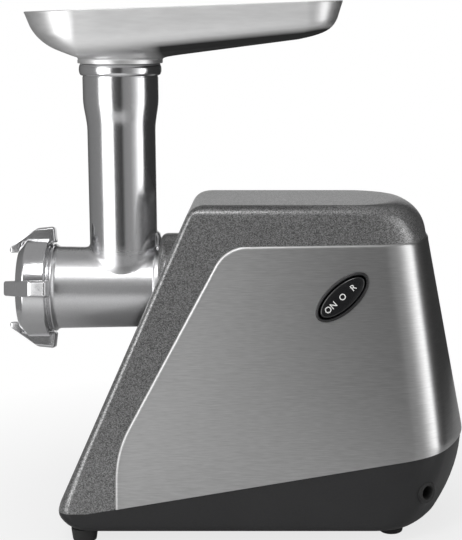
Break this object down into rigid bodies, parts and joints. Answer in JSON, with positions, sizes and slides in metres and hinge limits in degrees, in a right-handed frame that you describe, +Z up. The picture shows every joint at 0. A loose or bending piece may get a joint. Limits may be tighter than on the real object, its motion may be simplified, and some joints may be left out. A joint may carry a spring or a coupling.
{
  "type": "electric meat grinder",
  "caption": "Kitchen meat grinder with a tapered motor housing, a side-wrapped steel panel, a horizontal screw barrel with lobed ring nut, and a feed tube under a flared hopper tray.",
  "frame": {"origin": "on the table under the middle of the machine", "axes": "+Z up, -X the way the grinding head points, -Y the side with the switch"},
  "size_m": [0.3167, 0.149, 0.3587],
  "materials": {
    "speckled_plastic": "dark grey moulded plastic with a fine metallic speckle and a satin grain",
    "brushed_steel": "stainless sheet brushed lengthwise, with a bright rolled edge",
    "black_plastic": "black moulded plastic with a fine matt grain",
    "gloss_black": "polished black plastic with white printed letters",
    "black_rubber": "soft black rubber",
    "plated_screws": "zinc-plated steel",
    "spring_steel": "drawn spring wire",
    "contact_brass": "stamped brass",
    "bearing_bronze": "oil-filled sintered bronze",
    "cast_aluminium": "polished cast aluminium with soft edges",
    "satin_steel": "satin stainless sheet",
    "tool_steel": "ground tool steel",
    "coupling_plastic": "natural nylon",
    "gear_steel": "sintered steel with a film of grease",
    "laminations": "stacked electrical steel sheets",
    "copper_winding": "varnished copper wire and bars",
    "carbon": "pressed carbon",
    "wire_insulation": "soft PVC insulation"
  },
  "bodies": {
    "machine": {"auger_washer": "tool_steel", "base_pan": "black_plastic", "brush_holders": "black_plastic", "brush_springs": "spring_steel", "carbon_brushes": "carbon", "cord_gland": "black_rubber", "field_coils": "copper_winding", "first_bushes": "bearing_bronze", "foot_screws": "plated_screws", "gearbox_case": "cast_aluminium", "gearbox_cover": "cast_aluminium", "gearbox_screws": "plated_screws", "grinder_barrel": "cast_aluminium", "head_socket": "speckled_plastic", "housing_screws": "plated_screws", "housing_shell": "speckled_plastic", "internal_wires": "wire_insulation", "lock_spring": "spring_steel", "motor_bearings": "tool_steel", "motor_bolts": "plated_screws", "motor_bracket": "cast_aluminium", "motor_cradle": "black_plastic", "output_bearing_front": "bearing_bronze", "output_bearing_rear": "bearing_bronze", "plate_key": "tool_steel", "rubber_foot_1": "black_rubber", "rubber_foot_2": "black_rubber", "rubber_foot_3": "black_rubber", "rubber_foot_4": "black_rubber", "second_bushes": "bearing_bronze", "socket_screws": "plated_screws", "stator_core": "laminations", "steel_wrap": "brushed_steel", "switch_bezel": "black_plastic", "switch_body": "black_plastic", "switch_terminals": "contact_brass", "terminal_block": "black_plastic"},
    "rotor": {"motor_shaft": "tool_steel", "motor_pinion": "tool_steel", "armature_core": "laminations", "armature_winding": "copper_winding", "commutator": "copper_winding", "motor_fan": "coupling_plastic"},
    "first_stage": {"first_shaft": "tool_steel", "first_gear": "coupling_plastic"},
    "second_stage": {"second_shaft": "tool_steel", "second_gear": "gear_steel"},
    "output_drive": {"output_shaft": "tool_steel", "output_gear": "gear_steel", "auger_coupling": "coupling_plastic", "coupling_screw": "plated_screws", "auger": "cast_aluminium", "cutting_blade": "tool_steel"},
    "plate": {"cutting_plate": "tool_steel"},
    "nut": {"ring_nut": "cast_aluminium"},
    "tray": {"hopper_tray": "satin_steel"},
    "rocker": {"switch_rocker": "gloss_black"},
    "lock": {"lock_button": "black_plastic"}
  },
  "joints": [
    {"name": "motor_spin", "type": "hinge", "parent": "machine", "child": "rotor", "pos_m": [0.01001, 0, 0.0584], "axis": [1, 0, 0], "continuous": true},
    {"name": "first_spin", "type": "hinge", "parent": "machine", "child": "first_stage", "pos_m": [0.01001, -0.006, 0.09024], "axis": [1, 0, 0], "continuous": true},
    {"name": "second_spin", "type": "hinge", "parent": "machine", "child": "second_stage", "pos_m": [0.01001, 0.01, 0.12249], "axis": [1, 0, 0], "continuous": true},
    {"name": "output_spin", "type": "hinge", "parent": "machine", "child": "output_drive", "pos_m": [0.01001, 0, 0.16173], "axis": [1, 0, 0], "continuous": true},
    {"name": "nut_advance", "type": "slide", "parent": "machine", "child": "plate", "axis": [-1, 0, 0], "range_m": [0, 0.00901]},
    {"name": "nut_turn", "type": "hinge", "parent": "plate", "child": "nut", "pos_m": [-0.14979, 0, 0.16173], "axis": [-1, 0, 0], "range_deg": [0, 1080]},
    {"name": "tray_lift", "type": "slide", "parent": "machine", "child": "tray", "axis": [0, 0, 1], "range_m": [0, 0.025]},
    {"name": "switch_rock", "type": "hinge", "parent": "machine", "child": "rocker", "pos_m": [0.07176, -0.0516, 0.16514], "axis": [-0.6691, 0.0957, 0.737], "range_deg": [-8, 8]},
    {"name": "lock_press", "type": "slide", "parent": "machine", "child": "lock", "axis": [1, 0, 0], "range_m": [0, 0.004], "stiffness_N_per_m": 400, "springref_m": -0.003, "deforming": ["lock_spring"]}
  ],
  "couplings": [
    {"joint": "first_spin", "follows": "motor_spin", "ratio": -0.2},
    {"joint": "second_spin", "follows": "motor_spin", "ratio": 0.05},
    {"joint": "output_spin", "follows": "motor_spin", "ratio": -0.014286},
    {"joint": "nut_advance", "follows": "nut_turn", "m_per_rad": 0.00047746}
  ]
}
